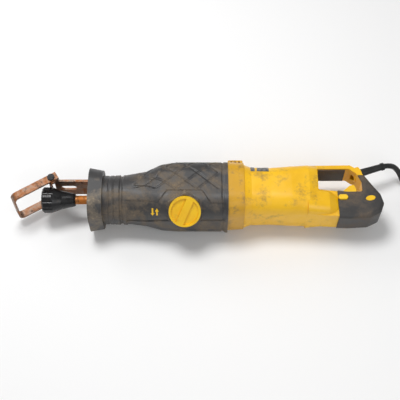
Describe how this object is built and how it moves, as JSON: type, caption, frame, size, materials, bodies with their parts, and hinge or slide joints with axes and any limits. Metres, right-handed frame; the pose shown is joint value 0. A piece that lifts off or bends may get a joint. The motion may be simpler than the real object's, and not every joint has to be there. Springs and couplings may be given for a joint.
{
  "type": "reciprocating saw",
  "caption": "Corded reciprocating saw with a pivoting loop shoe, twist blade clamp, rubber boot, orbit dial and closed D-handle, lying on its side.",
  "frame": {"origin": "centre of the saw's bounding box at the surface it lies on, without its cord", "axes": "+X from the blade clamp to the rear handle, -Y the saw's top, +Z its right side, up from the floor"},
  "size_m": [0.6155, 0.1347, 0.0836],
  "materials": {
    "casting": "cast, dull",
    "steel": "machined",
    "rusty_steel": "rusted plate",
    "black_metal": "black oxide, glossy",
    "copper": "enamelled winding",
    "bronze": "sintered bush",
    "boot_rubber": "moulded, dusty",
    "grip_rubber": "moulded, satin",
    "yellow": "scuffed moulding",
    "yellow_trim": "moulding",
    "black_plastic": "moulding",
    "cord": "smooth sheath",
    "carbon": "pressed carbon",
    "fan": "moulding"
  },
  "bodies": {
    "frame": {"gearcase": "casting", "rubber_boot": "boot_rubber", "nose_flange": "boot_rubber", "front_bush": "bronze", "plunger_seal": "boot_rubber", "rear_guide": "bronze", "gear_bush": "bronze", "dial_bush": "bronze", "bearing_plate": "casting", "plate_screws": "steel", "front_bearing": "steel", "field_stator": "steel", "field_coils": "copper", "rear_bearing": "steel", "rear_bearing_bracket": "black_plastic", "brush_holders": "bronze", "carbon_brushes": "carbon", "brush_springs": "steel", "vent_ring": "yellow", "motor_housing": "yellow", "handle_shell_right": "yellow", "handle_shell_left": "yellow", "grip_cover_right": "grip_rubber", "grip_cover_left": "grip_rubber", "grip_inlay": "yellow_trim", "guard_liner": "grip_rubber", "trigger_pin": "steel", "switch_body": "black_plastic", "shell_screws": "steel", "latch_base": "rusty_steel", "latch_pin": "steel", "strain_relief": "cord", "power_cord": "cord", "cord_coil": "cord", "coil_tie": "black_plastic", "plug_body": "cord", "plug_pins": "steel"},
    "plunger": {"plunger_rod": "rusty_steel", "plunger_yoke": "steel", "clamp_core": "black_metal", "clamp_spring": "steel"},
    "collar": {"blade_collar": "black_metal"},
    "shoe_slide": {"shoe_bracket": "rusty_steel", "shoe_pivots": "black_metal"},
    "shoe": {"shoe_loop": "rusty_steel"},
    "crank": {"drive_gear": "steel", "crank_pin": "steel", "counterweight": "steel"},
    "armature": {"armature_shaft": "steel", "drive_pinion": "steel", "armature_core": "steel", "armature_windings": "copper", "commutator": "copper", "cooling_fan": "fan"},
    "dial": {"orbit_dial": "yellow_trim", "dial_cam": "steel"},
    "trigger": {"trigger": "yellow_trim"},
    "lock": {"lock_button": "yellow_trim"},
    "latch": {"latch_lever": "black_plastic"}
  },
  "joints": [
    {"name": "plunger_stroke", "type": "slide", "parent": "frame", "child": "plunger", "axis": [-1, 0, 0], "range_m": [-0.0143, 0.0143]},
    {"name": "collar_twist", "type": "hinge", "parent": "plunger", "child": "collar", "pos_m": [-0.175, -0.00225, 0.039], "axis": [-1, 0, 0], "range_deg": [0, 50], "stiffness_Nm_per_rad": 0.1},
    {"name": "shoe_depth", "type": "slide", "parent": "frame", "child": "shoe_slide", "axis": [-1, 0, 0], "range_m": [-0.008, 0.008]},
    {"name": "shoe_tilt", "type": "hinge", "parent": "shoe_slide", "child": "shoe", "pos_m": [-0.1825, 0.01575, 0.039], "axis": [0, 0, 1], "range_deg": [-12, 58]},
    {"name": "crank_turn", "type": "hinge", "parent": "frame", "child": "crank", "pos_m": [-0.025, 0.01575, 0.039], "axis": [0, -1, 0], "continuous": true},
    {"name": "armature_turn", "type": "hinge", "parent": "frame", "child": "armature", "pos_m": [0.06, 0.00575, 0.039], "axis": [1, 0, 0], "continuous": true},
    {"name": "dial_turn", "type": "hinge", "parent": "frame", "child": "dial", "pos_m": [-0.0155, -0.03421, 0.06777], "axis": [0, -0.7431, 0.6691], "range_deg": [0, 135]},
    {"name": "trigger_pull", "type": "hinge", "parent": "frame", "child": "trigger", "pos_m": [0.183, -0.00465, 0.039], "axis": [0, 0, -1], "range_deg": [0, 11], "stiffness_Nm_per_rad": 0.4, "springref_deg": -5.73},
    {"name": "lock_press", "type": "slide", "parent": "frame", "child": "lock", "axis": [0, 0, -1], "range_m": [0, 0.003], "stiffness_N_per_m": 300, "springref_m": -0.001},
    {"name": "latch_lift", "type": "hinge", "parent": "frame", "child": "latch", "pos_m": [0.028, 0.04415, 0.039], "axis": [0, 0, 1], "range_deg": [0, 60]}
  ],
  "couplings": [
    {"joint": "armature_turn", "follows": "crank_turn", "ratio": 5}
  ]
}
